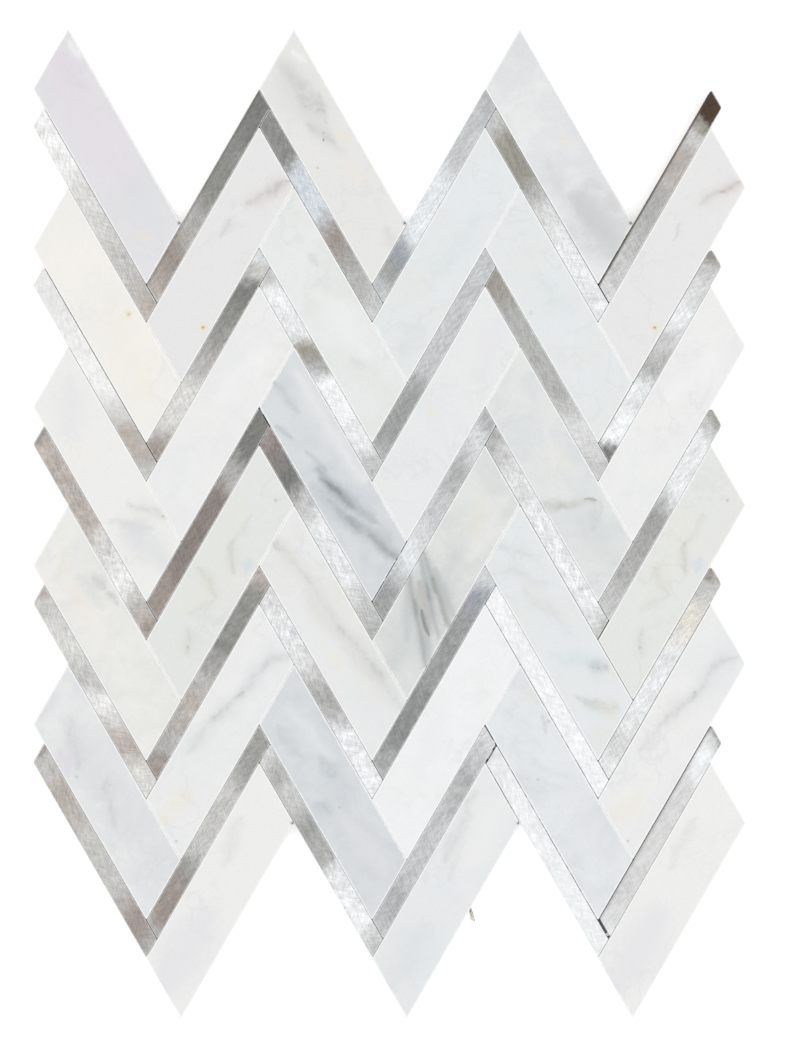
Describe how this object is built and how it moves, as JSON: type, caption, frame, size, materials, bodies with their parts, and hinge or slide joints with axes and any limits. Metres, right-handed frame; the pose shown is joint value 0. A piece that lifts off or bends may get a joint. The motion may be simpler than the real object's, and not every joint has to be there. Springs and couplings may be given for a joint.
{
  "type": "marble mosaic tile",
  "caption": "Mesh-mounted mosaic sheet: pale marble rhomboid chips in an interlocking herringbone, with brushed aluminium strips between them and toothed top and bottom edges.",
  "frame": {"origin": "middle of the sheet's box, on the underside of the backing net, where the sheet meets the adhesive bed", "axes": "+X across the sheet to the right, +Y up the pattern, along the columns, +Z out of the polished face"},
  "size_m": [0.2988, 0.4144, 0.0085],
  "materials": {
    "marble": "polished pale marble, grey and brown veins",
    "aluminium": "brushed",
    "glass_net": "coated glass-fibre net"
  },
  "bodies": {
    "root": {"marble_chip_a1": "marble", "marble_chip_a2": "marble", "marble_chip_a3": "marble", "marble_chip_a4": "marble", "marble_chip_a5": "marble", "aluminium_strips_a": "aluminium", "marble_chip_b1": "marble", "marble_chip_b2": "marble", "marble_chip_b3": "marble", "marble_chip_b4": "marble", "marble_chip_b5": "marble", "aluminium_strips_b": "aluminium", "marble_chip_c1": "marble", "marble_chip_c2": "marble", "marble_chip_c3": "marble", "marble_chip_c4": "marble", "marble_chip_c5": "marble", "aluminium_strips_c": "aluminium", "marble_chip_d1": "marble", "marble_chip_d2": "marble", "marble_chip_d3": "marble", "marble_chip_d4": "marble", "marble_chip_d5": "marble", "aluminium_strips_d": "aluminium", "marble_chip_e1": "marble", "marble_chip_e2": "marble", "marble_chip_e3": "marble", "marble_chip_e4": "marble", "marble_chip_e5": "marble", "aluminium_strips_e": "aluminium", "marble_chip_f1": "marble", "marble_chip_f2": "marble", "marble_chip_f3": "marble", "marble_chip_f4": "marble", "marble_chip_f5": "marble", "aluminium_strips_f": "aluminium", "mesh_warp_yarns": "glass_net", "mesh_weft_yarns": "glass_net"}
  },
  "joints": []
}
